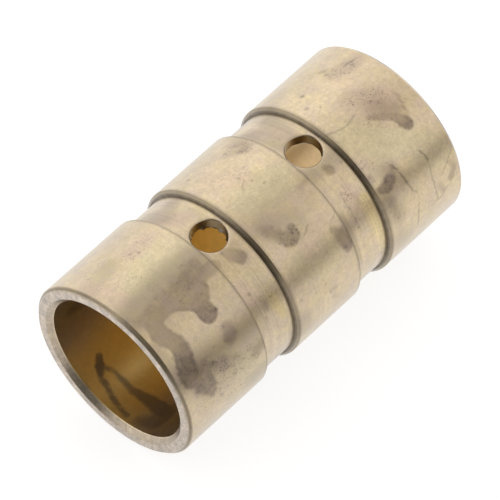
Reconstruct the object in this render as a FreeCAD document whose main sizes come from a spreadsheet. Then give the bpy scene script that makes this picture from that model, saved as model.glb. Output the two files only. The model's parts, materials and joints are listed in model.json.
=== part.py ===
import FreeCAD, Part
import os
import Sketcher

# One-piece turned bronze bearing sleeve (plain bush).
#
# Frame: millimetres.  +X runs along the bore from the "front" end to the "back" end, +Z is up
# and the cross-drilled oil holes run along it.  The origin is on the bore axis, half-way along
# the sleeve.  The sleeve lies on its side, as it does on a bench.
#
# The sleeve is turned from one blank: a plain wall, two wide shallow oil grooves round the
# outside, a lead-in chamfer at both mouths of the bore, and one drilling across each groove
# that opens both walls of the sleeve.

# name of the cell, value in millimetres, what it is
DIMENSIONS = [
    ("outer_dia", 55.0, "outside diameter of the three lands"),
    ("bore_dia", 45.0, "running bore"),
    ("sleeve_length", 108.0, "overall length along the bore"),
    ("end_land", 29.8, "length of the front end land, from the face to its groove"),
    ("groove_width", 11.9, "width of each oil groove at its floor"),
    ("groove_depth", 1.6, "depth of each oil groove below the lands"),
    ("groove_pitch", 36.8, "spacing of the two oil grooves"),
    ("groove_lead", 1.0, "45 degree lead on the groove edge nearer the back end"),
    ("edge_break", 0.2, "45 degree break on the groove edge nearer the front end"),
    ("corner_radius", 0.3, "radius left by the tool in the corners of a groove floor"),
    ("end_chamfer", 1.0, "45 degree chamfer outside both ends"),
    ("mouth_chamfer", 1.5, "45 degree chamfer at both mouths of the bore"),
    ("oil_hole_dia", 10.0, "oil hole drilled across each groove"),
    ("rim_chamfer", 0.35, "deburring round the outer rim of each oil hole"),
    ("tool_clear", 4.0, "how far a cutting section runs past the metal"),
]

doc = FreeCAD.newDocument("bearing_sleeve")

sheet = doc.addObject("Spreadsheet::Sheet", "Dimensions")
for row, (alias, value, meaning) in enumerate(DIMENSIONS, start=1):
    sheet.set("A%d" % row, meaning)
    sheet.set("B%d" % row, str(value))
    sheet.setAlias("B%d" % row, alias)
doc.recompute()

size = {alias: float(sheet.get(alias)) for alias, value, meaning in DIMENSIONS}
outer_r = size["outer_dia"] / 2
bore_r = size["bore_dia"] / 2
half_length = size["sleeve_length"] / 2
floor_r = outer_r - size["groove_depth"]
groove_start = -half_length + size["end_land"]
groove_end = groove_start + size["groove_width"]
hole_x = (groove_start + groove_end) / 2
hole_r = size["oil_hole_dia"] / 2

body = doc.addObject("PartDesign::Body", "BearingSleeve")
body.Label = "bearing_sleeve"
doc.recompute()


def origin_item(role):
    """The body's own plane or axis that has this role."""
    for item in body.Origin.OriginFeatures:
        if item.Role == role:
            return item
    raise RuntimeError("no origin item " + role)


def turning_sketch(name):
    """A sketch through the bore axis, turned about it: sketch x is X, sketch y is the radius."""
    sketch = body.newObject("Sketcher::SketchObject", name)
    sketch.AttachmentSupport = [(origin_item("XY_Plane"), "")]
    sketch.MapMode = "FlatFace"
    return sketch


def outline(sketch, points):
    """A closed outline of straight lines; returns the index of each line."""
    lines = []
    for i, start in enumerate(points):
        end = points[(i + 1) % len(points)]
        segment = Part.LineSegment(
            FreeCAD.Vector(start[0], start[1], 0),
            FreeCAD.Vector(end[0], end[1], 0),
        )
        lines.append(sketch.addGeometry(segment, False))
    for i, line in enumerate(lines):
        following = lines[(i + 1) % len(lines)]
        sketch.addConstraint(Sketcher.Constraint("Coincident", line, 2, following, 1))
    return lines


def place(sketch, line, end, x_expr, x_value, y_expr, y_value, name):
    """Fix one end of a line by its distances from the sketch origin, bound to the sheet."""
    for kind, expr, value, suffix in (
        ("DistanceX", x_expr, x_value, "_x"),
        ("DistanceY", y_expr, y_value, "_y"),
    ):
        index = sketch.addConstraint(Sketcher.Constraint(kind, -1, 1, line, end, value))
        sketch.renameConstraint(index, name + suffix)
        sketch.setExpression("Constraints." + name + suffix, expr)


def bound_outline(sketch, corners):
    """An outline whose corners are (name, x expression, x, y expression, y)."""
    lines = outline(sketch, [(corner[2], corner[4]) for corner in corners])
    for line, (name, x_expr, x_value, y_expr, y_value) in zip(lines, corners):
        place(sketch, line, 1, x_expr, x_value, y_expr, y_value, name)
    return lines


# ---- the blank: the wall of the sleeve, with both chamfers at each end, turned round the bore
OUTER = "Dimensions.outer_dia / 2"
BORE = "Dimensions.bore_dia / 2"
HALF = "Dimensions.sleeve_length / 2"
END_CHAMFER = "Dimensions.end_chamfer"
MOUTH = "Dimensions.mouth_chamfer"
end_chamfer = size["end_chamfer"]
mouth = size["mouth_chamfer"]

wall = turning_sketch("WallSection")
bound_outline(wall, [
    ("front_land", "-%s + %s" % (HALF, END_CHAMFER), -half_length + end_chamfer, OUTER, outer_r),
    ("back_land", "%s - %s" % (HALF, END_CHAMFER), half_length - end_chamfer, OUTER, outer_r),
    ("back_outer", HALF, half_length, "%s - %s" % (OUTER, END_CHAMFER), outer_r - end_chamfer),
    ("back_inner", HALF, half_length, "%s + %s" % (BORE, MOUTH), bore_r + mouth),
    ("back_bore", "%s - %s" % (HALF, MOUTH), half_length - mouth, BORE, bore_r),
    ("front_bore", "-%s + %s" % (HALF, MOUTH), -half_length + mouth, BORE, bore_r),
    ("front_inner", "-" + HALF, -half_length, "%s + %s" % (BORE, MOUTH), bore_r + mouth),
    ("front_outer", "-" + HALF, -half_length, "%s - %s" % (OUTER, END_CHAMFER), outer_r - end_chamfer),
])
doc.recompute()

blank = body.newObject("PartDesign::Revolution", "SleeveBlank")
blank.Profile = wall
blank.ReferenceAxis = (wall, ["H_Axis"])
blank.Angle = 360.0
wall.Visibility = False
doc.recompute()
blank_volume = body.Shape.Volume

# ---- the oil groove nearer the front end: flat floor, a broken front edge, a longer back lead
FLOOR = "Dimensions.outer_dia / 2 - Dimensions.groove_depth"
START = "-Dimensions.sleeve_length / 2 + Dimensions.end_land"
END = START + " + Dimensions.groove_width"
CLEAR = "Dimensions.tool_clear"
clear = size["tool_clear"]
lead = size["groove_lead"]
edge = size["edge_break"]

section = turning_sketch("GrooveSection")
bound_outline(section, [
    ("floor_front", START, groove_start, FLOOR, floor_r),
    ("floor_back", END, groove_end, FLOOR, floor_r),
    ("wall_back", END, groove_end, OUTER + " - Dimensions.groove_lead", outer_r - lead),
    ("lead_back", "%s + Dimensions.groove_lead + %s" % (END, CLEAR), groove_end + lead + clear,
     "%s + %s" % (OUTER, CLEAR), outer_r + clear),
    ("lead_front", "%s - Dimensions.edge_break - %s" % (START, CLEAR), groove_start - edge - clear,
     "%s + %s" % (OUTER, CLEAR), outer_r + clear),
    ("wall_front", START, groove_start, OUTER + " - Dimensions.edge_break", outer_r - edge),
])
doc.recompute()

oil_groove = body.newObject("PartDesign::Groove", "OilGroove")
oil_groove.Profile = section
oil_groove.ReferenceAxis = (section, ["H_Axis"])
oil_groove.Angle = 360.0
section.Visibility = False
doc.recompute()
grooved_volume = body.Shape.Volume

# ---- the drilling across that groove: one straight hole through both walls of the sleeve
HOLE_X = START + " + Dimensions.groove_width / 2"

drill = body.newObject("Sketcher::SketchObject", "DrillCircle")
drill.AttachmentSupport = [(origin_item("XY_Plane"), "")]
drill.MapMode = "FlatFace"
circle = drill.addGeometry(
    Part.Circle(FreeCAD.Vector(hole_x, 0, 0), FreeCAD.Vector(0, 0, 1), hole_r),
    False,
)
drill.addConstraint(Sketcher.Constraint("PointOnObject", circle, 3, -1))
centre = drill.addConstraint(Sketcher.Constraint("DistanceX", -1, 1, circle, 3, hole_x))
drill.renameConstraint(centre, "hole_x")
drill.setExpression("Constraints.hole_x", HOLE_X)
width = drill.addConstraint(Sketcher.Constraint("Diameter", circle, size["oil_hole_dia"]))
drill.renameConstraint(width, "hole_dia")
drill.setExpression("Constraints.hole_dia", "Dimensions.oil_hole_dia")
doc.recompute()

oil_hole = body.newObject("PartDesign::Pocket", "OilHole")
oil_hole.Profile = drill
oil_hole.Midplane = True
oil_hole.setExpression("Length", "Dimensions.outer_dia + 2 * " + CLEAR)
drill.Visibility = False
doc.recompute()
drilled_volume = body.Shape.Volume

# ---- the same groove and drilling again, one groove pitch nearer the back end
pair = body.newObject("PartDesign::LinearPattern", "GroovePair")
pair.Originals = [oil_groove, oil_hole]
pair.Direction = (origin_item("X_Axis"), [""])
pair.setExpression("Length", "Dimensions.groove_pitch")
pair.Occurrences = 2
body.Tip = pair
doc.recompute()
pair_volume = body.Shape.Volume

# ---- the deburred rim of each oil hole, where it breaks through a groove floor
rim_edges = []
for index, item in enumerate(body.Shape.Edges, start=1):
    box = item.BoundBox
    across = abs(box.XLength - size["oil_hole_dia"]) < 0.01
    outside = max(abs(box.ZMin), abs(box.ZMax)) > (floor_r + bore_r) / 2
    if across and outside:
        rim_edges.append("Edge%d" % index)
rims = body.newObject("PartDesign::Chamfer", "HoleRims")
rims.Base = (pair, rim_edges)
rims.setExpression("Size", "Dimensions.rim_chamfer")
body.Tip = rims
doc.recompute()
rim_volume = body.Shape.Volume

# ---- the radius that the grooving tool leaves in each corner of a groove floor
corner_edges = []
for index, item in enumerate(body.Shape.Edges, start=1):
    curve = item.Curve
    if isinstance(curve, Part.Circle) and abs(curve.Axis.x) > 0.999:
        if abs(curve.Radius - floor_r) < 0.01:
            corner_edges.append("Edge%d" % index)
corners = body.newObject("PartDesign::Fillet", "FloorCorners")
corners.Base = (rims, corner_edges)
corners.setExpression("Radius", "Dimensions.corner_radius")
body.Tip = corners
doc.recompute()

# ---- every cut has to remove metal, and the fillet has to leave a little behind
if not grooved_volume < blank_volume - 1000:
    raise RuntimeError("the oil groove cut nothing")
if not drilled_volume < grooved_volume - 300:
    raise RuntimeError("the oil hole cut nothing")
if not pair_volume < drilled_volume - 3000:
    raise RuntimeError("the second groove and hole cut nothing")
if len(rim_edges) != 4 or not rim_volume < pair_volume:
    raise RuntimeError("the rims of the oil holes were not deburred")
if len(corner_edges) != 4 or not body.Shape.Volume > rim_volume:
    raise RuntimeError("the floor corners were not rounded")

for item in doc.Objects:
    if "Invalid" in item.State or "Error" in item.State:
        raise RuntimeError("%s failed: %s" % (item.Name, item.State))
for node in (body,):
    if node.Shape.isNull() or not node.Shape.isValid():
        raise RuntimeError(node.Label + " has no valid shape")
    if len(node.Shape.Solids) != 1:
        raise RuntimeError(node.Label + " is not one solid")

os.makedirs("parts", exist_ok=True)
for node in (body,):
    node.Shape.exportStep(os.path.join("parts", node.Label + ".step"))
    box = node.Shape.optimalBoundingBox()
    print("%s: %.2f x %.2f x %.2f mm, %.0f mm3" % (
        node.Label, box.XLength, box.YLength, box.ZLength, node.Shape.Volume))
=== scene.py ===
"""Looks of a turned bronze bearing sleeve that lies on its side.

Row frame, metres: +X runs along the bore from the front end to the back end, +Z is up and runs
along the oil holes, and the origin is half-way along the bore.

Sizes below are in millimetres.  A place on the sleeve's skin is given by how far it is along from
the front face, in millimetres, and by its angle round, in degrees from the top towards -Y.
"""

import json
import math

import bmesh
import bpy
import numpy as np
from mathutils import Matrix, Vector


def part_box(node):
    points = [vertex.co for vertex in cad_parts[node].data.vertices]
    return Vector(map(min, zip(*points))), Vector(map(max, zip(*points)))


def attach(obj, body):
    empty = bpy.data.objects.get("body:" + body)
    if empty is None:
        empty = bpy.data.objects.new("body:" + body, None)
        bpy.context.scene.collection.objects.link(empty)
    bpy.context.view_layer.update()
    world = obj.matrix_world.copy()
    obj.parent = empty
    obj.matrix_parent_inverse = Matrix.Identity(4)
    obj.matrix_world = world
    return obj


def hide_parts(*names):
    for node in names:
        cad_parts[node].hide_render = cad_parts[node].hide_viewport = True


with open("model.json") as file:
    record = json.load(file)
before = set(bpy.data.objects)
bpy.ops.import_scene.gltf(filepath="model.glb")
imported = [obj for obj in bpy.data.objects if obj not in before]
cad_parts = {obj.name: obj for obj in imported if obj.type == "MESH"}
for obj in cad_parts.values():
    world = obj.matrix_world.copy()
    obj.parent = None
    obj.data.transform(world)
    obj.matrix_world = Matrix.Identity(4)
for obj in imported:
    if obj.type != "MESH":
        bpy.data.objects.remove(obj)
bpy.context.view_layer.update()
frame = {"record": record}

MM = 0.001
NODE = "bearing_sleeve"

# ---------------------------------------------------------------- sizes, in millimetres
LOW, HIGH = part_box(NODE)
MOUNTS = {mount["name"]: mount for mount in frame["record"]["mounts"]}
HALF = HIGH.x / MM
OUTER_R = MOUNTS["outside_diameter"]["dims"]["r_mm"]
BORE_R = MOUNTS["bore"]["dims"]["r_mm"]
HOLE_R = MOUNTS["oil_hole_front"]["dims"]["r_mm"]
HOLE_XS = [MOUNTS[name]["pos_m"][0] / MM for name in ("oil_hole_front", "oil_hole_back")]
END_CHAMFER = HALF - MOUNTS["outside_diameter"]["dims"]["length_mm"] / 2
MOUTH_CHAMFER = HALF - MOUNTS["bore"]["dims"]["length_mm"] / 2
FACE_INNER_R = BORE_R + MOUTH_CHAMFER
GROOVE_WIDTH = 11.9
GROOVE_DEPTH = 1.6
FLOOR_R = OUTER_R - GROOVE_DEPTH
GROOVE_LEAD = 1.0
EDGE_BREAK = 0.2
CORNER_R = 0.3
RIM = 0.35
TINY_ROUND = 0.10          # rounding of every other machined edge
BREAK_ROUND = 0.06         # rounding of a groove's broken front edge
BURR = 0.55                # where the drill leaves the front upper hole
SMALL_BURR = 0.12          # where it leaves the others
BORE_SKIN = 0.04           # the bore's own metal reaches this far outside its radius
GROOVE_XS = [hole_x - GROOVE_WIDTH / 2 for hole_x in HOLE_XS]

# ---------------------------------------------------------------- how finely the mesh is cut
SIDE_COLUMNS = 100         # columns on each side, between the two rows of holes
PATCH_COLUMNS = 22         # columns across the patch round a hole
PATCH_ROWS = 18            # rows along the patch round a hole
PATCH_HALF_X = GROOVE_WIDTH / 2 - CORNER_R - 0.01
PATCH_HALF_Y = 6.6
LAND_STEP = 0.7
BORE_STEP = 3.0
STAINED_BORE_STEP = 1.0    # the front third of the bore, which has marks
FINE_STEP = 0.4
BREAK_STEP = 0.1           # across a groove's broken edge
WALL_STEP = 0.25           # down a groove's front wall and across its lead
REAR_WALL_STEP = 0.2
WALL_LEVELS = 8            # rings down the drilled wall of a hole
HUG = 0.05                 # a row this close to each edge keeps the flats flat
FACE_JOIN = 1.2            # how far outside the mouth chamfer the two sections meet
PATCH = "patch"            # stands for the rows of a patch round a hole


def rounded(before, corner, after, radius, pieces=3):
    """Points that round one corner of a section."""
    a, b, c = (np.array(point, float) for point in (before, corner, after))
    to_a = (a - b) / np.linalg.norm(a - b)
    to_c = (c - b) / np.linalg.norm(c - b)
    turn = math.acos(float(np.clip(to_a @ to_c, -1, 1)))
    longest = 0.45 * min(np.linalg.norm(a - b), np.linalg.norm(c - b))
    reach = min(radius / math.tan(turn / 2), longest)
    start, end = b + to_a * reach, b + to_c * reach
    shares = [i / pieces for i in range(pieces + 1)]
    return [(1 - share) ** 2 * start + 2 * share * (1 - share) * b + share ** 2 * end for share in shares]


def between(start, end, spacing):
    """Points between two corners, without the corners: one close to each, the rest evenly."""
    length = np.linalg.norm(end - start)
    if length < 4 * HUG:
        return []
    first, last = HUG / length, 1 - HUG / length
    count = max(1, round(length / spacing))
    return [start + (end - start) * (first + (last - first) * i / count) for i in range(count + 1)]


def section(corners, before=None, after=None):
    """Points (x, radius) along a section, and the first and last row of each patch in it.
    A corner is (x, radius, rounding, spacing of the rows to the next corner)."""
    points, patches = [], []
    places = [before] + [corner[:2] for corner in corners] + [after]
    for i, (x, radius, rounding, spacing) in enumerate(corners):
        if rounding:
            here = rounded(places[i], places[i + 1], places[i + 2], rounding)
        else:
            here = [np.array((x, radius), float)]
        gap = corners[i - 1][3] if i else None
        if gap == PATCH:
            start = points[-1]
            patches.append((len(points) - 1, len(points) - 1 + PATCH_ROWS))
            points += [start + (here[0] - start) * n / PATCH_ROWS for n in range(1, PATCH_ROWS)]
        elif gap:
            points += between(points[-1], here[0], gap)
        points += here
    return np.array(points), patches


def outer_section():
    """The outside, from the front face to the back face."""
    corners = [
        (-HALF, FACE_INNER_R + FACE_JOIN, 0, FINE_STEP),
        (-HALF, OUTER_R - END_CHAMFER, TINY_ROUND, FINE_STEP),
        (-HALF + END_CHAMFER, OUTER_R, TINY_ROUND, LAND_STEP),
    ]
    for start, hole_x in zip(GROOVE_XS, HOLE_XS):
        end = start + GROOVE_WIDTH
        corners += [
            (start - EDGE_BREAK, OUTER_R, BREAK_ROUND, BREAK_STEP),
            (start, OUTER_R - EDGE_BREAK, BREAK_ROUND, WALL_STEP),
            (start, FLOOR_R, CORNER_R, None),
            (hole_x - PATCH_HALF_X, FLOOR_R, 0, PATCH),
            (hole_x + PATCH_HALF_X, FLOOR_R, 0, None),
            (end, FLOOR_R, CORNER_R, REAR_WALL_STEP),
            (end, OUTER_R - GROOVE_LEAD, TINY_ROUND, WALL_STEP),
            (end + GROOVE_LEAD, OUTER_R, TINY_ROUND, LAND_STEP),
        ]
    corners += [
        (HALF - END_CHAMFER, OUTER_R, TINY_ROUND, FINE_STEP),
        (HALF, OUTER_R - END_CHAMFER, TINY_ROUND, FINE_STEP),
        (HALF, FACE_INNER_R + FACE_JOIN, 0, None),
    ]
    return section(corners)


def bore_section():
    """The bore, from the back face to the front face."""
    corners = [
        (HALF, FACE_INNER_R, TINY_ROUND, FINE_STEP),
        (HALF - MOUTH_CHAMFER, BORE_R, TINY_ROUND, BORE_STEP),
    ]
    for hole_x, step in zip(reversed(HOLE_XS), (BORE_STEP, STAINED_BORE_STEP)):
        corners += [
            (hole_x + PATCH_HALF_X, BORE_R, 0, PATCH),
            (hole_x - PATCH_HALF_X, BORE_R, 0, step),
        ]
    corners += [
        (-HALF + MOUTH_CHAMFER, BORE_R, TINY_ROUND, FINE_STEP),
        (-HALF, FACE_INNER_R, TINY_ROUND, None),
    ]
    joins = [(side * HALF, FACE_INNER_R + FACE_JOIN) for side in (1, -1)]
    points, patches = section(corners, before=joins[0], after=joins[1])
    return points, patches[::-1]


def columns(radius):
    """Angles of the columns round the sleeve; those across each hole are even in Y."""
    edge = math.asin(PATCH_HALF_Y / radius)
    across = [
        math.asin(PATCH_HALF_Y / radius * (2 * i / PATCH_COLUMNS - 1))
        for i in range(PATCH_COLUMNS)
    ]
    side = [edge + (math.pi - 2 * edge) * i / SIDE_COLUMNS for i in range(SIDE_COLUMNS)]
    half = np.array(across + side)
    return np.concatenate([half, half + math.pi])


HALF_TURN = PATCH_COLUMNS + SIDE_COLUMNS
COLUMN_COUNT = 2 * HALF_TURN


class Shell:
    """The sleeve's vertices and faces, in millimetres."""

    def __init__(self):
        self.points = []
        self.faces = []

    def add(self, x, y, z):
        self.points.append((x, y, z))
        return len(self.points) - 1

    def ring(self, x, radius, angles):
        return [self.add(x, -radius * math.sin(a), radius * math.cos(a)) for a in angles]

    def join(self, first, second, keep=None):
        """Faces between two loops of vertices, where keep(column) allows one."""
        count = len(first)
        for n in range(count):
            if keep is None or keep(n):
                m = (n + 1) % count
                self.faces.append((first[n], second[n], second[m], first[m]))


def lathe(shell, points, patches, radius):
    """Rings at every point of a section, joined except inside the patches round the holes."""
    angles = columns(radius)
    rings = [shell.ring(x, r, angles) for x, r in points]
    for i in range(len(rings) - 1):
        in_patch_rows = any(first <= i < last for first, last in patches)
        keep = (lambda n: n % HALF_TURN >= PATCH_COLUMNS) if in_patch_rows else None
        shell.join(rings[i], rings[i + 1], keep)
    return rings


def patch_outline(rings, patch, column):
    """Vertices round a patch, in order."""
    first, last = patch
    left, right = column, (column + PATCH_COLUMNS) % COLUMN_COUNT
    across = [(column + n) % COLUMN_COUNT for n in range(PATCH_COLUMNS + 1)]
    loop = [rings[i][left] for i in range(first, last)]
    loop += [rings[last][n] for n in across[:-1]]
    loop += [rings[i][right] for i in range(last, first, -1)]
    loop += [rings[first][n] for n in across[:0:-1]]
    return loop


def collar(shell, loop, hole_x, side, radius, stages):
    """Faces from a patch's outline in to the hole.  A stage is (reach, drop, share): the ring goes
    that share of the way to a circle of that reach, and is sunk by that drop towards the bore."""
    middle = [(shell.points[v][0] - hole_x, shell.points[v][1]) for v in loop]
    for reach, drop, share in stages:
        ring = []
        for x, y in middle:
            bearing = math.atan2(y, x)
            far = reach(bearing) if callable(reach) else reach
            new_x = x + (far * math.cos(bearing) - x) * share
            new_y = y + (far * math.sin(bearing) - y) * share
            height = math.sqrt(radius ** 2 - new_y ** 2) - drop
            ring.append(shell.add(hole_x + new_x, new_y, side * height))
        shell.join(loop, ring)
        loop = ring
    return loop


def bridge(shell, top, foot, hole_x):
    """The drilled wall of a hole.  The foot's loop runs the other way, so it is matched first."""
    def bearing(v):
        x, y, z = shell.points[v]
        return math.atan2(y, x - hole_x)

    def turn(a, b):
        return (bearing(b) - bearing(a) + math.pi) % (2 * math.pi) - math.pi

    count = len(top)
    start = min(range(count), key=lambda n: abs(turn(top[0], foot[n])))
    step = 1 if turn(top[0], top[1]) * turn(foot[0], foot[1]) > 0 else -1
    foot = [foot[(start + step * n) % count] for n in range(count)]
    loop = top
    for level in range(1, WALL_LEVELS):
        share = level / WALL_LEVELS
        ring = []
        for above, below in zip(top, foot):
            start_point, end_point = np.array(shell.points[above]), np.array(shell.points[below])
            ring.append(shell.add(*(start_point + (end_point - start_point) * share)))
        shell.join(loop, ring)
        loop = ring
    shell.join(loop, foot)


def ragged(size):
    """Radius of the drill's exit edge at each bearing, with an uneven burr of about this size."""
    def reach(bearing):
        waves = math.sin(7 * bearing + 1) + 0.8 * math.sin(12 * bearing + 2) + 0.7 * math.sin(19 * bearing)
        return HOLE_R - size * max(0.0, 0.35 + 0.4 * waves)
    return reach


def build_sleeve():
    """The whole sleeve as one closed shell."""
    shell = Shell()
    outer_points, outer_patches = outer_section()
    bore_points, bore_patches = bore_section()
    outer = lathe(shell, outer_points, outer_patches, FLOOR_R)
    bore = lathe(shell, bore_points, bore_patches, BORE_R)
    shell.join(outer[-1], bore[0])
    shell.join(bore[-1], outer[0])

    rim = HOLE_R + RIM
    for number, hole_x in enumerate(HOLE_XS):
        for column, side in ((0, 1), (HALF_TURN, -1)):
            burr = BURR if (number, side) == (0, 1) else SMALL_BURR
            outline = patch_outline(outer, outer_patches[number], column)
            top = collar(shell, outline, hole_x, side, FLOOR_R, [
                (rim + 0.04, 0, 0.5),
                (rim + 0.04, 0, 1),              # the floor is flat up to here
                (rim, 0.02, 1),                  # the deburred rim starts
                (HOLE_R + 0.05, RIM - 0.08, 1),
                (HOLE_R, RIM, 1),                # and ends
                (HOLE_R, RIM + 0.12, 1),         # straight wall from here on
            ])
            outline = patch_outline(bore, bore_patches[number], column)
            foot = collar(shell, outline, hole_x, side, BORE_R, [
                (HOLE_R + 0.1, 0, 0.4),
                (HOLE_R + 0.1, 0, 0.8),
                (HOLE_R + 0.1, 0, 1),            # the bore is smooth up to here
                (ragged(burr), 0.4 * burr, 1),   # the burr's tips
                (HOLE_R, -0.35, 1),              # back to straight wall
            ])
            bridge(shell, top, foot, hole_x)
    return shell


shell = build_sleeve()
mesh = bpy.data.meshes.new("sleeve_turned")
mesh.from_pydata([tuple(value * MM for value in point) for point in shell.points], [], shell.faces)
sleeve = bpy.data.objects.new("sleeve_turned", mesh)
bpy.context.scene.collection.objects.link(sleeve)

for polygon in mesh.polygons:
    polygon.use_smooth = True
    corner_radii = [math.hypot(*shell.points[v][1:]) for v in polygon.vertices]
    polygon.material_index = int(max(corner_radii) < BORE_R + BORE_SKIN)

editing = bmesh.new()
editing.from_mesh(mesh)
bmesh.ops.recalc_face_normals(editing, faces=editing.faces)
open_edges = sum(1 for edge in editing.edges if len(edge.link_faces) != 2)
if open_edges:
    raise RuntimeError("the sleeve's mesh has %d open edges" % open_edges)
editing.to_mesh(mesh)
editing.free()
mesh.update()

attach(sleeve, "root")
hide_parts(NODE)

# ---------------------------------------------------------------- marks left by handling and oil, painted shade and painted highlights
# Marks between -60 and 105 degrees are placed one by one, and the side that faces away gets marks of
# the same kinds at seeded places.  A mark is a route of places, with a half width in millimetres and
# an ink from 0 to 1 where it needs them.

POINTS = np.array(shell.points)
ALONG = POINTS[:, 0] + HALF
ANGLE = np.degrees(np.arctan2(-POINTS[:, 1], POINTS[:, 2]))
RADIUS = np.hypot(POINTS[:, 1], POINTS[:, 2])
FROM_MIDDLE = np.abs(POINTS[:, 0])
ON_OUTSIDE = RADIUS > FLOOR_R - 0.05
DEGREE = math.radians(1) * OUTER_R      # one degree round the outside, in millimetres

# tarnish: (softness of its edge, route of (along, angle, half width, ink))
BLOTS = [
    # near land: a broad film with a comma at its back and a long limb at its front
    (0.8, [(7.0, 15.5, 2.3, 0.50), (12, 15.5, 2.2, 0.54), (20, 15.5, 2.9, 0.50), (26, 15, 2.0, 0.38),
           (30, 16, 1.8, 0.34)]),
    (0.7, [(14.3, 17.5, 2.2, 0.60), (17, 21, 2.4, 0.62)]),
    (1.2, [(1.0, 26, 1.2, 0.30), (2.0, 34, 1.5, 0.28), (1.5, 44, 1.2, 0.25)]),
    (1.9, [(0, 12, 1.4, 0.26), (8, 12, 1.8, 0.32), (18, 10, 1.6, 0.34), (25, 9, 2.2, 0.36)]),
    (0.7, [(20.4, 20, 4.0, 0.66), (19.3, 25, 2.9, 0.66), (18.9, 29, 2.5, 0.86), (19.3, 33, 2.6, 0.92),
           (19.5, 34.6, 1.4, 0.95)]),
    (0.8, [(5.6, 18, 2.6, 0.52), (5.0, 25, 2.8, 0.56), (6.3, 30, 2.4, 0.60), (6.9, 34, 2.6, 0.68),
           (7.0, 38, 2.5, 0.78), (6.2, 43, 2.9, 0.86), (5.3, 48, 3.0, 0.82), (5.2, 54, 2.9, 0.80)]),
    (1.7, [(6.4, 56, 2.8, 0.78), (8.4, 61, 3.9, 0.76), (9.2, 66, 3.0, 0.74), (9.0, 70, 2.0, 0.66)]),
    (2.0, [(10, 58, 2.8, 0.58), (15.5, 61, 2.4, 0.46), (20, 64, 1.6, 0.32)]),
    (1.4, [(21.4, 46, 1.6, 0.36), (21.2, 50.5, 2.2, 0.52)]),
    (1.6, [(25.8, 71.5, 1.6, 0.45), (28.5, 69, 1.8, 0.36)]),
    # front groove
    (0.9, [(35.0, 13.5, 1.2, 0.34), (36.3, 18, 2.1, 0.44), (37.3, 22, 1.9, 0.62)]),
    (1.0, [(34.6, 48, 0.6, 0.30), (35.2, 52, 0.8, 0.42), (35.0, 57, 0.4, 0.42)]),
    (0.8, [(33.9, 60, 0.3, 0.35), (33.6, 63, 0.3, 0.35)]),
    # middle land
    (1.3, [(46.4, 19, 1.0, 0.32), (47.5, 23, 1.4, 0.44), (48.6, 27, 1.6, 0.50)]),
    (0.8, [(49.7, 30, 1.8, 0.56), (50.5, 33, 2.1, 0.74), (52.6, 32.4, 1.9, 0.60), (53.0, 29, 1.2, 0.46)]),
    (1.3, [(63, 15, 0.7, 0.28), (66, 14.5, 0.8, 0.30)]),
    (1.0, [(62.8, 45, 1.0, 0.40), (63.5, 49, 1.7, 0.62), (64.4, 54, 2.0, 0.60), (64.8, 59, 1.5, 0.70)]),
    (1.8, [(59.5, -32, 1.3, 0.18), (62.6, -26, 1.4, 0.52), (64, -31, 1.7, 0.48), (63, -38, 1.8, 0.25)]),
    (1.2, [(54.8, 75, 0.6, 0.30), (56.6, 77, 0.6, 0.30)]),
    (1.2, [(56.2, 83, 0.9, 0.26), (57.2, 86, 0.4, 0.26)]),
    # back groove
    (0.8, [(73.0, 16.8, 1.3, 0.48), (73.3, 19.4, 1.3, 0.50)]),
    # far land
    (0.8, [(91.6, 12, 0.7, 0.42), (93.6, 15, 1.0, 0.55), (96, 18, 1.1, 0.55), (97.8, 21.5, 1.3, 0.52),
           (98.6, 26, 2.0, 0.76), (99.1, 29, 1.6, 0.96)]),
    (2.0, [(94, 9, 1.5, 0.26), (97, 14, 2.4, 0.32), (99.5, 20, 2.0, 0.34)]),
    (0.6, [(102.3, 10, 0.3, 0.40), (102.6, 14, 0.4, 0.46), (101.6, 19, 0.5, 0.50), (100.9, 24, 0.5, 0.50)]),
    (0.6, [(101, 21, 0.2, 0.40), (103, 18.6, 0.3, 0.38), (104, 16, 0.2, 0.30)]),
    (1.1, [(81.0, 47, 1.3, 0.80), (82.8, 48.2, 1.7, 1.0), (85.0, 46, 2.0, 0.98), (87.0, 43.4, 1.6, 0.88)]),
    (1.8, [(85, 40, 1.8, 0.34), (88, 45, 1.8, 0.36), (89, 52, 1.2, 0.28)]),
    (1.8, [(80.8, 52, 1.2, 0.36), (82, 58, 1.8, 0.36), (82.5, 66, 1.4, 0.34)]),
    (1.0, [(80.4, 37, 0.4, 0.45), (80.8, 40, 0.4, 0.40)]),
    (1.2, [(99, 72, 0.9, 0.26), (100.2, 78, 0.9, 0.42)]),
    (1.0, [(104.4, 63, 0.8, 0.32), (105.2, 68, 0.9, 0.40), (103.4, 73.4, 1.3, 0.52)]),
    (1.0, [(96.4, -31, 0.9, 0.46), (95.6, -33, 0.6, 0.42)]),
]
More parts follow.
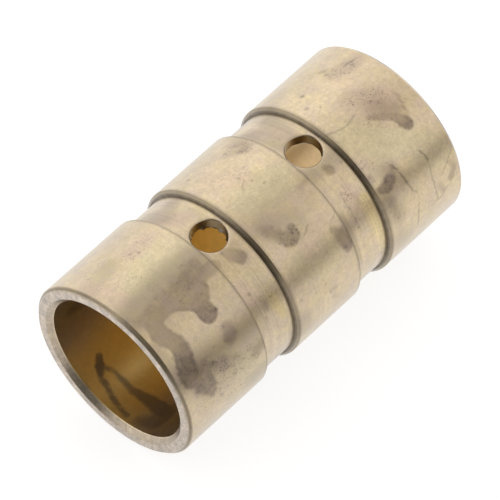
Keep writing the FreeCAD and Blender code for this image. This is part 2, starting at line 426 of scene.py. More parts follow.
# soft clouds: (strength, softness, route of (along, angle, half width))
CLOUDS = [
    (0.30, 5.0, [(3, 6, 1.5), (14, 4, 1.5), (25, 6, 2.5)]),
    (0.24, 7.0, [(6, 52, 3.0), (14, 62, 3.0), (27, 62, 2.0)]),
    (0.20, 4.0, [(2, -24, 1.0), (11, -27, 1.0)]),
    (0.22, 4.0, [(25, 91, 1.5), (28, 90, 1.5)]),
    (0.16, 4.0, [(47, 20, 1.0), (54, 28, 2.0)]),
    (0.10, 5.0, [(46, 14, 2.0), (60, 20, 2.0)]),
    (0.25, 3.0, [(44, 80, 1.0), (44.5, 88, 1.0)]),
    (0.32, 4.0, [(68, -40, 1.0), (72, -16, 2.5), (76, -36, 1.0)]),
    (0.30, 3.5, [(32, -45, 1.5), (34, -34, 2.0), (39, -38, 1.0)]),
    (0.14, 3.5, [(34, -26, 1.5), (39, -18, 1.0)]),
    (0.22, 3.5, [(68, 14, 1.0), (77, 15, 1.0)]),
    (0.16, 4.0, [(80, -44, 1.0), (84, -46, 1.0)]),
    (0.12, 4.0, [(93, -4, 1.0), (97, 8, 1.5), (99, 16, 1.0)]),
    (0.24, 3.0, [(81, 60, 2.0), (83, 68, 1.5)]),
    (0.20, 3.0, [(97, -24, 1.0), (105, -20, 1.0)]),
    (0.14, 4.0, [(82, 34, 1.0), (86, 38, 1.0)]),
    # painted shade along the back groove's front edge
    (0.30, 2.0, [(67.2, 44, 0.3), (67.2, 78, 0.3)]),
    (0.22, 5.0, [(82, 84, 1.0), (84, 90, 1.0)]),
]
# thin dried edges and hair lines: (strength, route of (along, angle))
LINES = [
    (0.62, [(87, 38), (88.1, 42), (88.6, 46), (89.0, 50), (89.3, 54)]),
    (0.42, [(89.3, 56), (89.8, 60), (91, 64), (91, 68), (90.3, 74), (89.8, 80), (89.3, 88)]),
    (0.55, [(97.3, 45), (98.0, 49), (98.1, 54)]),
    (0.40, [(97.8, 57), (97.4, 62), (97.2, 70), (97.3, 79)]),
    (0.35, [(96, 81.6), (99, 81), (101.2, 78)]),
    (0.36, [(101, 66), (103.4, 62.4), (105.4, 58.8)]),
    (0.34, [(80, 4), (82.4, 5.6), (84.4, 6.9), (86.5, 7), (89, 6)]),
    (0.50, [(101, -23), (104.5, -21)]),
    (0.50, [(55.2, 36), (56.8, 34.4)]),
    (0.30, [(62, 45), (62.6, 42), (64, 40), (66, 39)]),
    (0.30, [(51.4, -5.6), (52.6, -7.6), (53.8, -9)]),
    (0.36, [(70.9, 36), (71.2, 44), (71.1, 52)]),
    (0.30, [(84.2, -10.4), (85.4, -11.6)]),
]
# dots: (strength, along, angle, half width)
DOTS = [
    (0.8, 12.8, 56, 0.3), (0.6, 32.7, 41.4, 0.4), (0.7, 47.1, -39.6, 0.4), (0.6, 55.3, -6, 0.25),
    (0.7, 57, 0, 0.25), (0.6, 70.9, 57, 0.3), (0.8, 86, -27, 0.45), (0.5, 82.8, -17.4, 0.5),
    (0.5, 17.5, -23.4, 0.35), (0.35, 20.6, 44, 0.3), (0.5, 53.6, -12.4, 0.3), (0.4, 15.3, 49, 0.25),
    (0.4, 44.8, 65.4, 0.3), (0.4, 54, 69, 0.25), (0.45, 77.4, 20, 0.3), (0.4, 5.3, -31, 0.3),
]
# areas with many fine specks: (strength, route of (along, angle, half width))
SPECKS = [
    (0.8, [(92, -4, 2.0), (98, 6, 3.0), (96, 13, 2.0)]),
    (0.7, [(17, -23, 2.0), (25, -25, 1.5)]),
    (1.0, [(72.4, 35, 1.5), (74.5, 44, 1.5)]),
    (0.7, [(30.8, 47, 1.5), (38, 49, 2.0)]),
    (1.0, [(50.5, 32, 2.0), (53, 32, 2.0)]),
    (0.6, [(54, 75, 1.5), (57, 82, 1.5)]),
    (0.6, [(50, -26, 2.0), (56, -14, 2.0)]),
    (1.0, [(96, -24, 2.0), (101, -20, 2.5)]),
    (0.6, [(16, 14, 3.0), (24, 12, 3.0)]),
    (0.7, [(81, 30, 1.5), (84, 38, 1.5)]),
    (0.6, [(81, 58, 1.5), (84, 70, 1.5)]),
    (0.5, [(6, -20, 2.0), (14, -2, 2.0)]),
    (0.9, [(60, -33, 2.0), (64, -28, 2.5)]),
    (0.7, [(91, 15, 2.0), (96, 21, 2.5)]),
    (0.9, [(13, 64, 3.0), (24, 72, 3.5)]),
    (0.7, [(8, 77, 2.5), (20, 85, 3.0)]),
]
# rosier metal: (strength, softness, route of (along, angle, half width))
ROSY = [
    (0.9, 3.0, [(18, -24, 1.0), (25, -25, 1.0)]),
    (0.7, 3.0, [(2, -26, 1.0), (5, -5, 1.0)]),
    (0.8, 3.0, [(32, -36, 1.5), (35, -20, 1.5)]),
    (0.6, 4.0, [(50, -24, 2.0), (54, -10, 1.0)]),
    (0.8, 4.0, [(93, -2, 2.0), (99, 8, 2.0)]),
    (0.8, 2.0, [(73, 35, 1.0), (74, 45, 1.0)]),
    (0.8, 3.0, [(70, -36, 1.0), (74, -14, 1.0)]),
    (0.7, 2.0, [(32, 34, 1.0), (33, 46, 1.0)]),
    (0.7, 3.0, [(97, -20, 1.5), (104, -20, 1.0)]),
    (0.6, 3.0, [(54, 42, 2.0), (62, 36, 1.0)]),
]
# yellow painted highlights on the groove floors, in the same form
YELLOW_HIGHLIGHTS = [
    (0.9, 2.2, [(76.4, 46, 1.0), (76.8, 62, 1.2), (77.6, 84, 0.6)]),
    (1.0, 1.6, [(38.0, 53, 1.0), (38.4, 60, 0.7), (39.2, 68, 0.3)]),
    (0.5, 3.0, [(32.5, 16, 1.0), (33, 26, 1.0)]),
]
# greener metal, in the same form
OLIVE = [
    (1.0, 4.0, [(50, 2, 2.5), (60, 4, 3.0)]),
    (0.8, 4.0, [(12, -6, 3.0), (24, -8, 3.0)]),
    (1.0, 4.0, [(84, 14, 3.0), (90, 28, 3.0)]),
    (0.8, 4.0, [(95, 36, 2.0), (101, 52, 3.0)]),
    (0.7, 4.0, [(50, 50, 3.0), (58, 54, 3.0)]),
    (0.6, 4.0, [(22, 76, 2.0), (26, 84, 2.0)]),
]

# dried oil inside the front mouth, in the form of the tarnish: a dark head with two arms, a smear
# just behind the chamfer, and dull metal low down and on the other side
BORE_OIL = [
    (0.8, [(9.8, 217, 1.0, 0.85), (8.2, 212, 1.5, 0.95), (6.4, 206, 1.0, 0.95)]),
    (0.8, [(6.2, 204, 1.0, 0.85), (6.0, 198, 0.9, 0.85), (4.6, 190, 0.9, 0.85), (4.0, 183, 0.8, 0.75),
           (3.4, 173, 0.8, 0.65)]),
    (0.9, [(9.2, 208, 0.6, 0.70), (10.3, 203, 0.7, 0.75), (10.4, 192, 0.9, 0.75), (10.2, 182, 1.2, 0.80),
           (10.8, 170, 2.0, 0.80), (10.2, 152, 2.6, 0.80)]),
    (0.9, [(0.8, 218, 0.6, 0.70), (1.2, 208, 0.8, 0.80), (0.8, 198, 0.4, 0.70)]),
    (1.6, [(4, 165, 1.5, 0.50), (6, 150, 2.5, 0.60), (16, 148, 2.5, 0.45)]),
    (1.6, [(8, 262, 2.0, 0.40), (20, 258, 2.5, 0.30)]),
]

END_MARGIN = 4             # seeded marks stay this far from the end faces
FAR_SIDE = (112, 292)      # and between these angles

rng = np.random.default_rng(11)


def far_place():
    """A seeded place on the side that faces away."""
    return rng.uniform(END_MARGIN, 2 * HALF - END_MARGIN), rng.uniform(*FAR_SIDE)


for _ in range(20):
    along, angle = far_place()
    width, ink = rng.uniform(0.9, 2.4), rng.uniform(0.3, 0.7)
    route = []
    for fade in (0.75, 1.0, 0.9, 0.6):
        route.append((along, angle, width * rng.uniform(0.35, 1.25), fade * ink))
        along, angle = along + rng.uniform(-2.5, 2.5), angle + rng.uniform(1, 6)
    BLOTS.append((rng.uniform(0.9, 2.0), route))
for _ in range(16):
    along, angle = far_place()
    CLOUDS.append((rng.uniform(0.15, 0.35), rng.uniform(3, 6), [
        (along, angle, 1.5),
        (along + rng.uniform(-8, 8), angle + rng.uniform(-16, 16), 2.0),
    ]))
for _ in range(5):
    along, angle = far_place()
    route = [(along, angle)]
    for _ in range(5):
        along, angle = along + rng.uniform(-1.4, 1.4), angle + rng.uniform(4, 8)
        route.append((along, angle))
    LINES.append((rng.uniform(0.3, 0.5), route))
for _ in range(14):
    SPECKS.append((rng.uniform(0.4, 0.9), [far_place() + (rng.uniform(1.5, 4.0),)]))


def from_route(route):
    """For every vertex: distance to the route less its half width there, which side of it the
    vertex is on, and the ink there.  Half width and ink may be left out."""
    stations = np.array([tuple(station) + (0, 1)[len(station) - 2:] for station in route], float)
    middle = stations[:, 1].mean()
    round_mm = ((ANGLE - middle + 180) % 360 - 180) * DEGREE
    stations[:, 1] = (stations[:, 1] - middle) * DEGREE
    if len(stations) == 1:      # a single place is a very short route
        stations = np.vstack([stations, stations + [0.01, 0, 0, 0]])
    nearest = np.full(len(ALONG), np.inf)
    side = np.ones(len(ALONG))
    ink = np.zeros(len(ALONG))
    for start, end in zip(stations[:-1], stations[1:]):
        run = end[:2] - start[:2]
        dx, dy = ALONG - start[0], round_mm - start[1]
        share = np.clip((dx * run[0] + dy * run[1]) / (run @ run), 0, 1)
        width = start[2] + share * (end[2] - start[2])
        gap = np.hypot(dx - share * run[0], dy - share * run[1]) - width
        closer = gap < nearest
        nearest[closer] = gap[closer]
        side[closer] = np.sign(run[0] * dy - run[1] * dx)[closer]
        ink[closer] = (start[3] + share * (end[3] - start[3]))[closer]
    return nearest, side, ink


def smooth(values, low, high):
    """0 at low, 1 at high, with soft ends."""
    share = np.clip((values - low) / (high - low), 0, 1)
    return share * share * (3 - 2 * share)


def near(values, place, full, reach):
    """1 within full of a place and 0 from reach on, with soft ends."""
    return 1 - smooth(np.abs(values - place), full, reach)


def paint(name, values):
    """Stores one number per vertex for the shader."""
    layer = mesh.attributes.new(name, "FLOAT", "POINT")
    layer.data.foreach_set("value", np.asarray(values, np.float32))


def soft_field(marks):
    """Soft marks laid over each other."""
    clear = np.ones(len(ALONG))
    for strength, softness, route in marks:
        gap, _, _ = from_route(route)
        clear *= 1 - strength * (1 - smooth(gap, 0, softness))
    return 1 - clear


DEPTH_LIMIT = 3.0          # depth inside or outside a stain is followed this far
PULL = 4.0                 # how much more a deeper stain decides the ink than a shallower one
PULL_DEPTH = 0.8           # beyond this depth it decides no more
CRISP_EDGE = 0.7           # an edge this soft, or less, dries to a dark rim
NO_LINE = 3.0              # the distance that stands for no line close by
NO_DOT = -2.0              # the depth that stands for no dot close by


def blot_fields(blots):
    """How deep inside the tarnish each vertex is, in units of the edge's softness, the ink there
    and how crisp the edge is."""
    deepest = np.full(len(ALONG), -DEPTH_LIMIT)
    weights, inks, crisps = np.full(len(ALONG), 1e-9), np.zeros(len(ALONG)), np.zeros(len(ALONG))
    for softness, route in blots:
        gap, _, ink = from_route(route)
        depth = np.clip(-gap / softness, -DEPTH_LIMIT, DEPTH_LIMIT)
        weight = np.exp(PULL * np.minimum(depth, PULL_DEPTH))
        deepest = np.maximum(deepest, depth)
        weights += weight
        inks += weight * ink
        crisps += weight * min(1.0, CRISP_EDGE / softness)
    return deepest, inks / weights, crisps / weights


def line_fields(lines):
    """Distance to the nearest line, with a sign for its side, and the line's ink close to it."""
    gaps = np.full(len(ALONG), NO_LINE)
    inks = np.zeros(len(ALONG))
    for strength, route in lines:
        gap, side, _ = from_route(route)
        closer = gap < np.abs(gaps)
        gaps[closer] = (gap * side)[closer]
        inks[closer] = strength * (1 - smooth(gap[closer], 0.9, 1.4))
    return gaps, inks


def dot_fields(dots):
    """How deep inside the nearest dot each vertex is, and the dot's ink."""
    depths = np.full(len(ALONG), NO_DOT)
    inks = np.zeros(len(ALONG))
    for strength, along, angle, width in dots:
        gap, _, _ = from_route([(along, angle, width)])
        closer = -gap > depths
        depths[closer] = -gap[closer]
        inks[closer] = strength
    return depths, inks


def speck_field(areas):
    """How many specks there are: the most that any area asks for."""
    most = np.zeros(len(ALONG))
    for strength, route in areas:
        gap, _, _ = from_route(route)
        most = np.maximum(most, strength * (1 - smooth(gap, -0.5, 1.5)))
    return most


def painted_shade_field():
    """Painted shade in the grooves' corners, on their rear walls, along their edges and on the end
    chamfers.
    """
    below_lands = OUTER_R - RADIUS
    grime = np.zeros(len(ALONG))
    for start in GROOVE_XS:
        front = start + HALF
        back = front + GROOVE_WIDTH
        lead_end = back + GROOVE_LEAD
        on_rear_wall = (below_lands > 0.02) & ON_OUTSIDE & (ALONG < lead_end + 0.2)
        wall_shade = np.maximum(0.95 * smooth(below_lands, 0.35, 0.75), 0.60)
        rear_wall = on_rear_wall * smooth(ALONG, back - 0.35, back - 0.05) * wall_shade
        front_corner = 0.80 * near(ALONG, front + 0.05, 0.1, 0.45) * (below_lands > 0.1)
        front_edge = 0.55 * near(ALONG, front - 0.15, 0.05, 0.35) * ON_OUTSIDE
        rear_edge = 0.35 * near(ALONG, lead_end + 0.15, 0.05, 0.45) * ON_OUTSIDE
        grime = np.max([grime, rear_wall, front_corner, front_edge, rear_edge], axis=0)
    on_chamfer = smooth(FROM_MIDDLE, HALF - END_CHAMFER, HALF - 0.85 * END_CHAMFER)
    on_chamfer = on_chamfer * (below_lands > 0.05) * (below_lands < END_CHAMFER - 0.12)
    rubbed = near(ANGLE, 14, 8, 24)     # the painted shade on the chamfers is lighter over this stretch round
    return np.maximum(grime, on_chamfer * (0.78 - 0.66 * rubbed))


def hole_wall_field():
    """The drilled walls of the oil holes, where painted shade goes."""
    from_axis = np.min([np.hypot(POINTS[:, 0] - hole_x, POINTS[:, 1]) for hole_x in HOLE_XS], axis=0)
    return (1 - smooth(from_axis, HOLE_R + 0.02, HOLE_R + 0.30)) * (RADIUS > BORE_R - 0.5)


on_face = smooth(FROM_MIDDLE, HALF - 0.12, HALF - 0.02)
in_mouth = (RADIUS < FACE_INNER_R) * smooth(RADIUS, BORE_R + 0.02, BORE_R + 0.2)

blot_depth, blot_ink, blot_crisp = blot_fields(BLOTS)
line_gap, line_ink = line_fields(LINES)
dot_depth, dot_ink = dot_fields(DOTS)
paint("blot_depth", blot_depth)
paint("blot_ink", blot_ink * ON_OUTSIDE)
paint("blot_crisp", blot_crisp)
paint("cloud", soft_field(CLOUDS) * ON_OUTSIDE)
paint("line_gap", line_gap)
paint("line_ink", line_ink * ON_OUTSIDE)
paint("dot_depth", dot_depth)
paint("dot_ink", dot_ink * ON_OUTSIDE)
paint("specks", speck_field(SPECKS) * ON_OUTSIDE)
paint("rosy", soft_field(ROSY) * ON_OUTSIDE)
paint("olive", soft_field(OLIVE) * ON_OUTSIDE)
# painted highlights: yellow streaks on the groove floors
paint("warm", soft_field(YELLOW_HIGHLIGHTS) * (RADIUS < FLOOR_R + 0.3) * ON_OUTSIDE)
paint("groove_floor", (1 - smooth(RADIUS, FLOOR_R + 0.05, FLOOR_R + 0.3)) * ON_OUTSIDE)
paint("hole_wall", hole_wall_field())
paint("face", np.maximum(on_face, 0.7 * in_mouth))
# painted shade: dark brown in the groove corners, on the rear walls, along the edges, on the end chamfers
# and lightly in the mouth chamfer
paint("grime", np.maximum(painted_shade_field(), 0.22 * in_mouth))

# the outside is a little duller towards the front end, most between the top and the -Y side
front_share = 1 - smooth(ALONG, 25, 85)
handled_side = smooth(ANGLE, -10, 15) * (1 - smooth(ANGLE, 60, 85))
paint("dull", front_share * (0.35 + 0.65 * handled_side) * ON_OUTSIDE)

# the bore: dried oil, browner metal on both sides of the mouth, and duller metal deep inside
oil_depth, oil_ink, _ = blot_fields(BORE_OIL)
full_angle = ANGLE % 360
brown_sides = np.clip(1 - smooth(full_angle, 150, 180) + smooth(full_angle, 212, 250), 0, 1)
paint("oil_depth", oil_depth)
paint("oil_ink", oil_ink)
paint("bore_stain", brown_sides * (1 - smooth(ALONG, 20, 60)))
paint("bore_dull", smooth(ALONG, 66, 82))

# ---------------------------------------------------------------- shader helpers
MIX_A, MIX_B, MIX_RESULT = 6, 7, 2      # the colour sockets of a Mix node


class Nodes:
    """Adds nodes to a tree and joins them up."""

    def __init__(self, tree):
        self.tree = tree

    def add(self, kind, **settings):
        node = self.tree.nodes.new("ShaderNode" + kind)
        for key, value in settings.items():
            setattr(node, key, value)
        return node

    def feed(self, socket, value):
        """Gives a socket a value, or another node's output."""
        if isinstance(value, bpy.types.NodeSocket):
            self.tree.links.new(value, socket)
        elif socket.type == "RGBA":
            socket.default_value = tuple(value) + (1.0,)
        else:
            socket.default_value = value

    def vector(self, operation, a, b=None, scale=None):
        node = self.add("VectorMath", operation=operation)
        self.feed(node.inputs[0], a)
        if b is not None:
            self.feed(node.inputs[1], b)
        if scale is not None:
            self.feed(node.inputs["Scale"], scale)
        return node.outputs[0]

    def shade(self, colour, amount):
        """The colour times a number."""
        return self.vector("SCALE", colour, scale=amount)

    def math(self, operation, a, b=0.0, c=0.0):
        node = self.add("Math", operation=operation)
        for socket, value in zip(node.inputs, (a, b, c)):
            self.feed(socket, value)
        return node.outputs[0]

    def times(self, a, b):
        return self.math("MULTIPLY", a, b)

    def plus(self, a, b):
        return self.math("ADD", a, b)

    def scaled(self, value, amount, base):
        """The value times an amount, plus a base."""
        return self.math("MULTIPLY_ADD", value, amount, base)

    def factor(self, value, amount):
        """1 plus the value times an amount."""
        return self.scaled(value, amount, 1.0)

    def product(self, factors):
        result = factors[0]
        for factor in factors[1:]:
            result = self.times(result, factor)
        return result

    def step(self, value, low, high):
        """0 at low, 1 at high, with soft ends."""
        node = self.add("MapRange", interpolation_type="SMOOTHSTEP")
        self.feed(node.inputs["Value"], value)
        node.inputs["From Min"].default_value = low
        node.inputs["From Max"].default_value = high
        return node.outputs["Result"]

    def mix(self, share, a, b):
        node = self.add("Mix", data_type="RGBA")
        self.feed(node.inputs["Factor"], share)
        self.feed(node.inputs[MIX_A], a)
        self.feed(node.inputs[MIX_B], b)
        return node.outputs[MIX_RESULT]


class Metal(Nodes):
    """A new metal material."""

    def __init__(self, name):
        self.material = bpy.data.materials.new(name)
        self.material.use_nodes = True
        super().__init__(self.material.node_tree)
        self.surface = self.tree.nodes["Principled BSDF"]
        self.millimetres = self.shade(self.add("TexCoord").outputs["Object"], 1 / MM)

    def field(self, name):
        """A number painted on the mesh."""
        return self.add("Attribute", attribute_name=name).outputs["Fac"]

    def squeezed(self, along_scale, round_scale):
        """The place in millimetres, with the two directions scaled apart."""
        return self.vector("MULTIPLY", self.millimetres, (along_scale, round_scale, round_scale))

    def noise(self, scale, detail, roughness, place=None, offset=None):
        """Noise about a mean of 0, roughly -1 to 1; scale is per millimetre."""
        node = self.add("TexNoise", noise_dimensions="3D")
        source = self.millimetres if place is None else place
        if offset is not None:
            source = self.vector("ADD", source, offset)
        self.feed(node.inputs["Vector"], source)
        node.inputs["Scale"].default_value = scale
        node.inputs["Detail"].default_value = detail
        node.inputs["Roughness"].default_value = roughness
        return self.scaled(node.outputs["Fac"], 4.0, -2.0)

    def finish(self, colour, roughness, coat_roughness):
        """Metal under a thin film of oil, which whitens it where it is seen edge on."""
        inputs = self.surface.inputs
        self.feed(inputs["Base Color"], colour)
        inputs["Metallic"].default_value = 1.0
        self.feed(inputs["Roughness"], roughness)
        inputs["Coat Weight"].default_value = 1.0
        inputs["Coat Roughness"].default_value = coat_roughness


# ---------------------------------------------------------------- turned bronze, outside
CLEAN = (0.70, 0.559, 0.326)
GREYER = (0.665, 0.522, 0.370)
OLIVE_TONE = (0.685, 0.575, 0.345)
ROSY_TONE = (0.65, 0.485, 0.345)
HIGHLIGHT_YELLOW = (0.76, 0.595, 0.29)
FACE_TONE = (0.51, 0.425, 0.345)
# colour of the painted shade in the groove corners and on the rear walls, edges and chamfers
SHADE_BROWN = (0.105, 0.077, 0.042)
# colour of the painted shade on the drilled walls of the oil holes
HOLE_WALL_SHADE = (0.26, 0.205, 0.135)
TARNISH_TINT = (1.01, 0.93, 0.935)      # what tarnish leaves of the red, green and blue
BUMP_HEIGHT = 0.005 * MM


def metal_colour(metal, middle, hue):
    """Clean bronze with greyer, greener and rosier areas, yellow painted highlights on the groove floors,
    and paler end faces.
    """
    colour = metal.mix(metal.step(hue, -0.70, 0.75), CLEAN, GREYER)
    colour = metal.mix(metal.times(metal.field("olive"), 0.8), colour, OLIVE_TONE)
    colour = metal.mix(metal.times(metal.field("rosy"), metal.scaled(middle, 0.3, 0.8)), colour, ROSY_TONE)
    # yellow painted highlights on the groove floors
    colour = metal.mix(metal.times(metal.field("warm"), 0.8), colour, HIGHLIGHT_YELLOW)
    return metal.mix(metal.times(metal.field("face"), 0.9), colour, FACE_TONE)


def tarnish(metal, middle, fine, hue):
    """How much tarnish there is, with ragged edges, and how it darkens the metal: a grain inside,
    a darker rim, and soft clouds round it."""
    wander = metal.plus(metal.times(middle, 0.45), metal.times(fine, 0.30))
    wander = metal.plus(wander, metal.times(hue, 0.45))
    depth = metal.plus(metal.field("blot_depth"), wander)
    ink = metal.field("blot_ink")
    inside = metal.times(metal.step(depth, -0.75, 0.85), ink)
    grain = metal.scaled(metal.plus(fine, metal.times(middle, 0.8)), 0.28, 0.60)
    rim = metal.math("SUBTRACT", metal.step(depth, -0.55, 0.15), metal.step(depth, 0.25, 1.5))
    rim = metal.times(rim, metal.times(ink, metal.field("blot_crisp")))
    cloud = metal.times(metal.field("cloud"), metal.scaled(metal.plus(middle, fine), 0.40, 0.85))
    level = metal.product([
        metal.factor(metal.times(inside, grain), -1.0),
        metal.factor(rim, -0.20),
        metal.factor(cloud, -1.0),
    ])
    return inside, level


def hair_lines(metal):
    """How hair lines darken the metal: they wander a little and fade here and there."""
    gap = metal.plus(metal.field("line_gap"), metal.times(metal.noise(0.8, 3.0, 0.55), 0.30))
    line = metal.factor(metal.step(metal.math("ABSOLUTE", gap), 0.05, 0.55), -1.0)
    line = metal.times(line, metal.field("line_ink"))
    line = metal.times(line, metal.step(metal.noise(0.5, 3.0, 0.55, offset=(40, 0, 9)), -1.3, 0.5))
    return metal.factor(line, -0.80)


def specks_and_dots(metal, middle, fine, hue):
    """How specks, finer pits and single dots darken the metal.  Specks and pits are the tips of a
    noise: a few everywhere, and many in some areas and on the end faces."""
    tips = metal.noise(0.95, 4.0, 0.6, offset=(22, 6, 17))
    tips = metal.plus(metal.plus(tips, metal.times(middle, 0.40)), metal.times(hue, 0.30))
    tips = metal.plus(tips, metal.scaled(metal.field("specks"), 0.50, 0.02))
    tips = metal.plus(tips, metal.times(metal.field("face"), 0.45))
    grit = metal.plus(metal.noise(2.1, 2.0, 0.6, offset=(5, 2, 33)), metal.times(middle, 0.35))
    pits = metal.step(metal.plus(grit, metal.times(metal.field("specks"), 0.50)), 0.60, 1.10)
    dot = metal.step(metal.plus(metal.field("dot_depth"), metal.times(fine, 0.15)), -0.55, 0.05)
    return metal.product([
        metal.factor(metal.step(tips, 0.66, 1.30), -0.30),
        metal.factor(pits, -0.42),
        metal.factor(grit, 0.050),
        metal.factor(metal.times(dot, metal.field("dot_ink")), -0.55),
    ])


def end_faces(metal, middle, fine):
    """How the end faces vary: patches and radial streaks."""
    face = metal.field("face")
    streaks = metal.noise(1.0, 3.0, 0.6, place=metal.squeezed(0.0, 0.55))
    patchy = metal.factor(metal.times(face, metal.plus(middle, fine)), 0.22)
    return metal.times(patchy, metal.factor(metal.times(streaks, face), 0.26))


def outside_bronze():
    """Fine-turned bronze: tarnish, dried edges, specks, painted shade in the corners and turning lines."""
    metal = Metal("turned_bronze")
    coarse = metal.noise(0.12, 2.0, 0.5)
    middle = metal.noise(0.40, 4.0, 0.65, offset=(13, 5, 2))
    fine = metal.noise(0.95, 5.0, 0.85, offset=(3, 21, 8))
    hue = metal.noise(0.22, 5.0, 0.7, offset=(7, 31, 4))
    turning = metal.noise(1.0, 2.0, 0.7, place=metal.squeezed(2.0, 0.02))
    turning_strength = metal.scaled(metal.field("groove_floor"), 0.100, 0.030)

    stained, stain_level = tarnish(metal, middle, fine, hue)
    level = metal.product([
        metal.factor(fine, 0.19),
        metal.factor(middle, 0.09),
        metal.factor(coarse, 0.06),
        metal.factor(metal.field("dull"), -0.13),
        stain_level,
        hair_lines(metal),
        specks_and_dots(metal, middle, fine, hue),
        metal.factor(turning, turning_strength),
        end_faces(metal, middle, fine),
    ])
    colour = metal.shade(metal_colour(metal, middle, hue), level)
    colour = metal.mix(stained, colour, metal.vector("MULTIPLY", colour, TARNISH_TINT))
    # painted shade: dark brown in the grooves' corners, on their rear walls, along their edges and on the
    # end chamfers
    shade_share = metal.times(metal.field("grime"), metal.scaled(middle, 0.15, 0.92))
    colour = metal.mix(shade_share, colour, SHADE_BROWN)
    # painted shade: the drilled walls of the oil holes turn dark brown
    colour = metal.mix(metal.times(metal.field("hole_wall"), 0.80), colour, HOLE_WALL_SHADE)

    roughness = metal.plus(metal.scaled(stained, 0.08, 0.34), metal.times(fine, 0.02))
    roughness = metal.plus(roughness, metal.times(shade_share, 0.15))
    metal.finish(colour, roughness, coat_roughness=0.33)
    bump = metal.add("Bump")
    metal.feed(bump.inputs["Height"], metal.plus(fine, turning))
    bump.inputs["Distance"].default_value = BUMP_HEIGHT
    metal.feed(metal.surface.inputs["Normal"], bump.outputs["Normal"])
    return metal.material


# ---------------------------------------------------------------- rubbed bronze, in the bore
GOLD = (0.94, 0.735, 0.29)
BROWN = (0.68, 0.545, 0.38)
DRIED_OIL = (0.23, 0.20, 0.155)
DEEP_TINT = (0.73, 0.66, 0.82)          # what the deeper bore keeps of the red, green and blue


def bore_bronze():
    """The running bore: rubbed golden, browner at its sides, with dried oil near the front."""
    metal = Metal("rubbed_bronze")
    middle = metal.noise(0.30, 4.0, 0.65)
    fine = metal.noise(0.9, 4.0, 0.7, offset=(4, 9, 1))
    stain = metal.scaled(middle, 0.18, metal.field("bore_stain"))
    colour = metal.mix(metal.step(stain, 0.0, 1.0), GOLD, BROWN)
    colour = metal.shade(colour, metal.times(metal.factor(middle, 0.09), metal.factor(fine, 0.08)))
    colour = metal.mix(metal.field("bore_dull"), colour, metal.vector("MULTIPLY", colour, DEEP_TINT))
    wander = metal.plus(metal.times(middle, 0.5), metal.times(fine, 0.35))
    depth = metal.plus(metal.field("oil_depth"), wander)
    dark = metal.times(metal.step(depth, -0.6, 0.7), metal.field("oil_ink"))
    metal.finish(metal.mix(dark, colour, DRIED_OIL), roughness=0.33, coat_roughness=0.35)
    return metal.material


mesh.materials.append(outside_bronze())
mesh.materials.append(bore_bronze())

# ---------------------------------------------------------------- floor
FLOOR_SIZE = 3.0
PAPER = (0.34, 0.34, 0.34)
PAPER_GLOW = 0.80           # the paper's own light, as the camera sees it
GLOW_IN_METAL = 0.90        # the share of that glow that reflections see
floor_z = LOW.z
floor_mesh = bpy.data.meshes.new("floor")
floor_mesh.from_pydata(
    [(x * FLOOR_SIZE, y * FLOOR_SIZE, floor_z) for x, y in ((-1, -1), (1, -1), (1, 1), (-1, 1))],
    [], [(0, 1, 2, 3)])
floor = bpy.data.objects.new("floor", floor_mesh)
bpy.context.scene.collection.objects.link(floor)


def white_paper():
    """White paper: part of its light is its own to the camera and in reflections, so it reads
    white, and the rest falls on it, so that it keeps the sleeve's shadow."""
    material = bpy.data.materials.new("white_paper")
    material.use_nodes = True
    nodes = Nodes(material.node_tree)
    nodes.tree.nodes.remove(nodes.tree.nodes["Principled BSDF"])
    paper = nodes.add("BsdfDiffuse")
    nodes.feed(paper.inputs["Color"], PAPER)
    path = nodes.add("LightPath").outputs
    seen = nodes.math("MAXIMUM", path["Is Camera Ray"], nodes.times(path["Is Glossy Ray"], GLOW_IN_METAL))
    glow = nodes.add("Emission")
    nodes.feed(glow.inputs["Strength"], nodes.times(seen, PAPER_GLOW))
    both = nodes.add("AddShader")
    nodes.feed(both.inputs[0], paper.outputs[0])
    nodes.feed(both.inputs[1], glow.outputs[0])
    nodes.feed(nodes.tree.nodes["Material Output"].inputs["Surface"], both.outputs[0])
    return material


floor_mesh.materials.append(white_paper())

# ---------------------------------------------------------------- studio light
# A soft surround whose brightness changes slowly round the sleeve's axis: brightest behind, above
# +Y, with a dimmer strip low on the -Y side, and a dark gap towards -X where nothing is lit.
# Each pair is (degrees round the X axis from +Y over the top to -Y, brightness).
SURROUND = [
    (-180, 0.7), (-20, 1.0), (0, 1.10), (20, 1.18), (40, 1.18), (58, 1.0), (78, 0.85), (98, 0.77),
    (118, 0.87), (137, 0.97), (153, 0.98), (164, 0.66), (171, 0.15), (180, 0.08),
]
BRIGHT = 0.98                   # parts dimmer than this are tinted
DIM_TINT = (0.0, 0.20, 0.30)    # how much red, green and blue the dim parts lack
DARK_GAP = (-0.90, -0.29, 0.33)
GAP_EDGE = (0.72, 0.95)         # cosines of the angles from its middle where the gap starts and is full
GAP_LIGHT = 0.06                # the light that is left in it


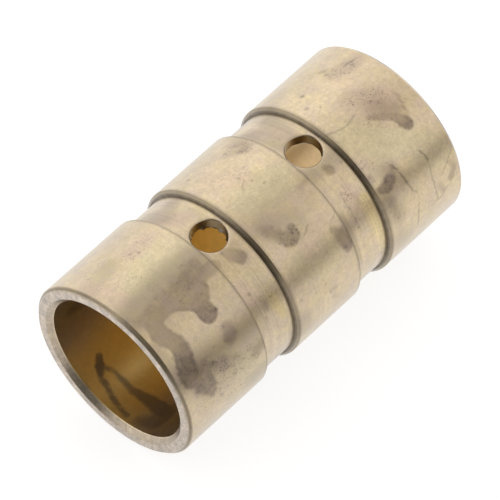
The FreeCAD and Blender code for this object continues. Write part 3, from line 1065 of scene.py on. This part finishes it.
def studio():
    """The surround, as the metal sees it; the camera itself sees plain white."""
    world = bpy.data.worlds.new("studio")
    world.use_nodes = True
    nodes = Nodes(world.node_tree)
    direction = nodes.add("TexCoord").outputs["Generated"]
    parts = nodes.add("SeparateXYZ")
    nodes.feed(parts.inputs[0], direction)
    around = nodes.math("ARCTAN2", parts.outputs["Z"], parts.outputs["Y"])
    ramp = nodes.add("ValToRGB")
    nodes.feed(ramp.inputs[0], nodes.scaled(around, 0.5 / math.pi, 0.5))
    ramp.color_ramp.interpolation = "EASE"
    stops = ramp.color_ramp.elements
    while len(stops) < len(SURROUND):
        stops.new(0.5)
    for stop, (degrees, brightness) in zip(stops, SURROUND):
        stop.position = (degrees + 180) / 360
        dimness = max(0.0, BRIGHT - brightness)
        stop.color = tuple(brightness * (1 - lack * dimness) for lack in DIM_TINT) + (1,)

    facing = nodes.add("VectorMath", operation="DOT_PRODUCT")
    nodes.feed(facing.inputs[0], direction)
    nodes.feed(facing.inputs[1], Vector(DARK_GAP).normalized())
    in_gap = nodes.step(facing.outputs["Value"], *GAP_EDGE)
    lit = nodes.shade(ramp.outputs[0], nodes.factor(in_gap, GAP_LIGHT - 1))
    seen = nodes.mix(nodes.add("LightPath").outputs["Is Camera Ray"], lit, (1, 1, 1))
    nodes.feed(nodes.tree.nodes["Background"].inputs["Color"], seen)
    return world


bpy.context.scene.world = studio()

# ---------------------------------------------------------------- camera
# aimed near the sleeve's middle, a long lens, a slight roll
CAMERA_PLACE = Vector((-0.53724, -0.42551, 1.03755))
CAMERA_AHEAD = Vector((0.43146, 0.34221, -0.83471))
CAMERA_ROLL = math.radians(4.529)
CAMERA_LENS = 337.87
camera_data = bpy.data.cameras.new("camera")
camera_data.sensor_width = 36.0
camera_data.lens = CAMERA_LENS
camera_data.clip_start = 0.1
camera_data.clip_end = 10.0
camera = bpy.data.objects.new("camera", camera_data)
aim = CAMERA_AHEAD.to_track_quat("-Z", "Y").to_matrix() @ Matrix.Rotation(CAMERA_ROLL, 3, "Z")
camera.matrix_world = Matrix.Translation(CAMERA_PLACE) @ aim.to_4x4()
bpy.context.scene.collection.objects.link(camera)
bpy.context.scene.camera = camera

bpy.context.scene.view_settings.view_transform = "Standard"

bpy.context.view_layer.update()
